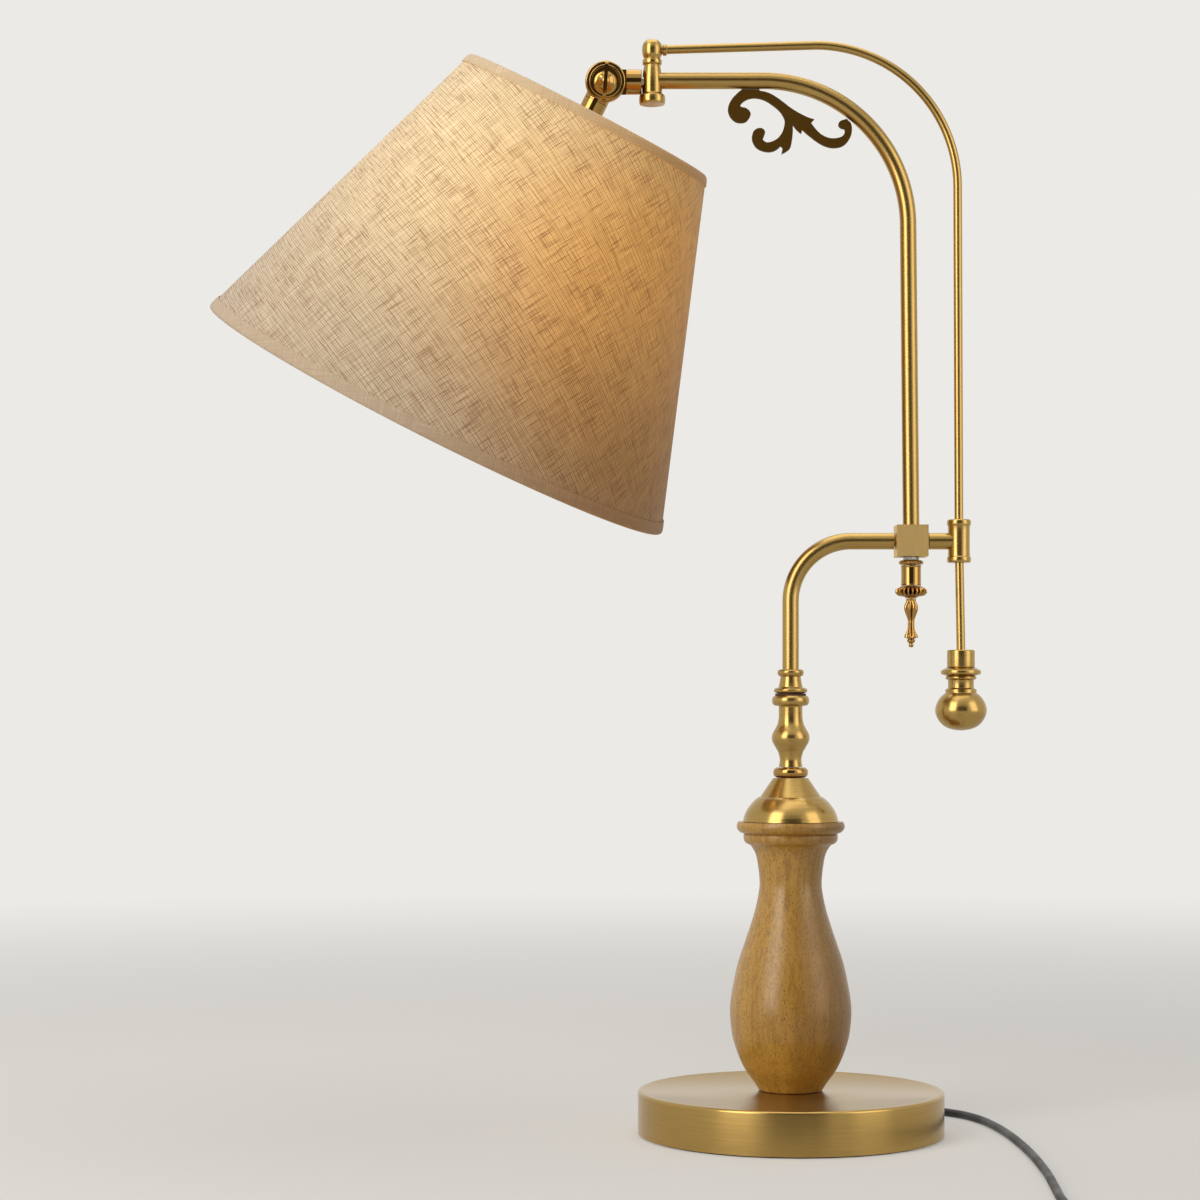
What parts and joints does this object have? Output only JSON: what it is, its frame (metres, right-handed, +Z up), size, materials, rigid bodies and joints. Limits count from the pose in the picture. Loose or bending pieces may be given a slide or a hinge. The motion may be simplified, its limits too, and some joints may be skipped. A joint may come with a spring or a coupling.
{
  "type": "table lamp",
  "caption": "Table lamp with a weighted round brass base, turned wooden body, swinging brass arm with a counterweight, and a linen shade on a tilting knuckle.",
  "frame": {"origin": "centre of the felt pad's underside, where the base stands on the table", "axes": "+Z up; -X towards the side that the shade hangs on, +X towards the counterweight; -Y towards the viewer, where the wing screw is; +Y towards the cord outlet in the base"},
  "size_m": [0.4882, 0.5758, 0.6635],
  "materials": {
    "satin_brass": "satin, brushed along the tubes, clear lacquer",
    "brushed_brass": "brushed upright, unlacquered look",
    "polished_brass": "polished, slightly darkened",
    "dull_brass": "dull cut plate",
    "zinc": "zinc plated, cut threads",
    "cast_iron": "rough casting",
    "turned_wood": "satin lacquer over light tan wood with fine dark pores",
    "felt": "dark felt",
    "fibre": "vulcanised fibre",
    "phenolic": "moulded black",
    "linen": "plain weave beige linen with dark slubs, glued on a liner",
    "tape": "folded binding tape",
    "enamel": "white enamelled wire",
    "opal_glass": "frosted, lit from inside",
    "nickel": "nickel plated",
    "cord_plastic": "dark brown to black cable jacket and mouldings",
    "rocker_red": "moulded red"
  },
  "bodies": {
    "base": {"base_cover": "satin_brass", "base_weight": "cast_iron", "base_pad": "felt", "base_washer": "zinc", "base_nut": "zinc", "threaded_tube": "zinc", "wood_body": "turned_wood", "dome_cap": "satin_brass", "stem_bead": "polished_brass", "baluster": "satin_brass", "swivel_screw": "zinc", "swivel_washer": "fibre", "cord_gland": "cord_plastic", "cord_lead": "cord_plastic", "cord_tail": "cord_plastic", "cord_end": "cord_plastic", "cord_coil": "cord_plastic", "switch_base": "cord_plastic", "switch_cover": "cord_plastic", "plug_body": "cord_plastic", "plug_pin_rear": "nickel", "plug_pin_front": "nickel"},
    "rocker": {"switch_rocker": "rocker_red"},
    "arm": {"swivel_spindle": "zinc", "swivel_collar": "satin_brass", "lower_tube": "satin_brass", "lower_nipple": "satin_brass", "stub_nipple": "satin_brass", "cube_block": "brushed_brass", "sleeve_stub": "satin_brass", "guide_sleeve": "satin_brass", "upper_tube": "satin_brass", "head_post": "satin_brass", "counter_rod": "satin_brass", "weight_collar": "satin_brass", "counterweight": "satin_brass", "scroll_ornament": "dull_brass", "finial_nipple": "zinc", "finial_ring": "polished_brass", "finial_barrel": "polished_brass", "finial_crown": "polished_brass", "finial_drop": "polished_brass"},
    "knuckle": {"knuckle_stub": "polished_brass", "roll_journal": "zinc"},
    "wing": {"wing_screw": "polished_brass"},
    "shade_head": {"knuckle_neck": "polished_brass", "socket_cap": "polished_brass", "socket_body": "phenolic", "socket_shell": "satin_brass", "socket_contact": "satin_brass", "bulb_cap": "nickel", "bulb_glass": "opal_glass", "shade_fabric": "linen", "top_tape": "tape", "bottom_tape": "tape", "top_wire": "enamel", "bottom_wire": "enamel", "shade_spider": "enamel", "shade_ring": "phenolic"}
  },
  "joints": [
    {"name": "arm_swing", "type": "hinge", "parent": "base", "child": "arm", "pos_m": [0, 0, 0.2667], "axis": [0, 0, 1], "range_deg": [-170, 170]},
    {"name": "head_roll", "type": "hinge", "parent": "arm", "child": "knuckle", "pos_m": [-0.1122, 0, 0.6376], "axis": [1, 0, 0], "range_deg": [-75, 75]},
    {"name": "head_tilt", "type": "hinge", "parent": "knuckle", "child": "shade_head", "pos_m": [-0.1122, 0, 0.6376], "axis": [0, 0.9854, 0.1702], "range_deg": [-22, 65]},
    {"name": "wing_screw_turn", "type": "hinge", "parent": "knuckle", "child": "wing", "pos_m": [-0.1122, 0, 0.6376], "axis": [0, -0.9854, -0.1702], "range_deg": [0, 330]},
    {"name": "switch_rocker_press", "type": "hinge", "parent": "base", "child": "rocker", "pos_m": [0.068, -0.37, 0.0116], "axis": [0, -1, 0], "range_deg": [0, 14]}
  ]
}
